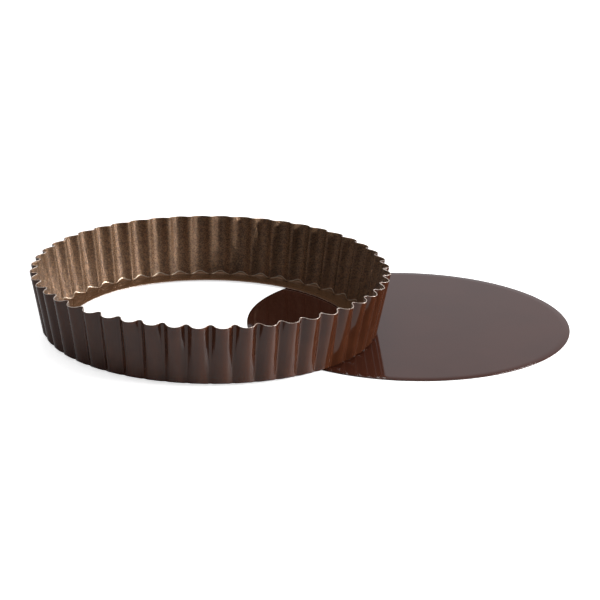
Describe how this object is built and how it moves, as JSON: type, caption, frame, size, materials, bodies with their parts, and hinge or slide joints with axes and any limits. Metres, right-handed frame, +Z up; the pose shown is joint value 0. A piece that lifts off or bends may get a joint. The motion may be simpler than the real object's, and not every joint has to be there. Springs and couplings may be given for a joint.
{
  "type": "fluted tart pan with loose bottom",
  "caption": "Deep round fluted tart pan, taken apart: a fluted ring with an in-turned ledge, lying partly over the flat disc that is its removable bottom.",
  "frame": {"origin": "middle of the two pieces as they lie, on the table surface", "axes": "+X from the ring's axis to the disc's axis, +Z up out of the ring's mouth"},
  "size_m": [0.3778, 0.25, 0.0443],
  "materials": {
    "ring_coating": "dark chocolate-brown non-stick coating, glossy outside and finely grained bronze-brown inside",
    "bottom_coating": "smooth glossy red-brown non-stick coating"
  },
  "bodies": {
    "ring": {"fluted_ring": "ring_coating"},
    "bottom": {"loose_bottom": "bottom_coating"}
  },
  "joints": [
    {"name": "bottom_slide", "type": "slide", "parent": "ring", "child": "bottom", "axis": [1, 0, 0], "range_m": [-0.1394, 0.105]}
  ]
}
